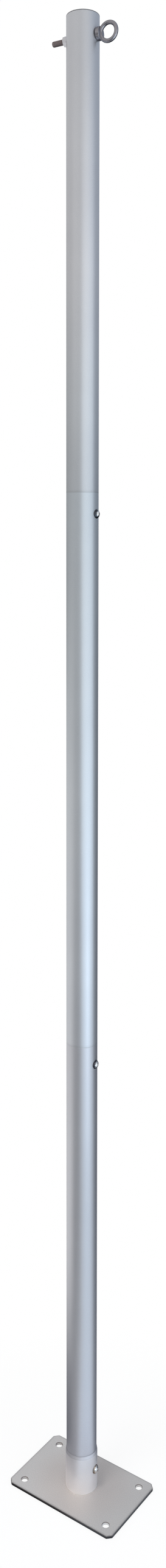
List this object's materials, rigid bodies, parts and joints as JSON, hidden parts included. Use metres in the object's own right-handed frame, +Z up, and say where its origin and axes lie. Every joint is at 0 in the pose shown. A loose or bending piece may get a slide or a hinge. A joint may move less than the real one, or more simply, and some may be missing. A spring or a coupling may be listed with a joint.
{
  "type": "shade sail mast",
  "caption": "Round metal mast in plug-together sections on a bolted base plate, with an eye bolt near the top to hold the corner of a shade sail.",
  "frame": {"origin": "centre of the base plate's underside, on the ground", "axes": "+Z up along the mast, X along the plate's long side, the eye towards +X"},
  "size_m": [0.2, 0.13, 2.2662],
  "materials": {
    "plate_paint": "satin silver-grey paint",
    "socket_paint": "satin silver-grey paint",
    "mast_paint": "satin silver-grey paint with a slight blue tint",
    "zinc_sleeve": "dull zinc-plated",
    "polished_screw": "bright polished stainless steel",
    "weld_nut": "plain steel",
    "forged_eye": "dark polished steel",
    "plated_nut": "zinc-plated",
    "cap_plastic": "dark grey plastic"
  },
  "bodies": {
    "root": {"base_plate": "plate_paint", "socket_tube": "socket_paint", "socket_weld": "plate_paint", "lower_mast_tube": "mast_paint", "middle_mast_tube": "mast_paint", "upper_mast_tube": "mast_paint", "lower_joint_sleeve": "zinc_sleeve", "upper_joint_sleeve": "zinc_sleeve", "socket_screw": "polished_screw", "lower_joint_screw": "polished_screw", "upper_joint_screw": "polished_screw", "socket_screw_nut": "weld_nut", "lower_joint_nut": "weld_nut", "upper_joint_nut": "weld_nut", "eye_bolt": "forged_eye", "eye_nut": "plated_nut", "top_cap": "cap_plastic"}
  },
  "joints": []
}
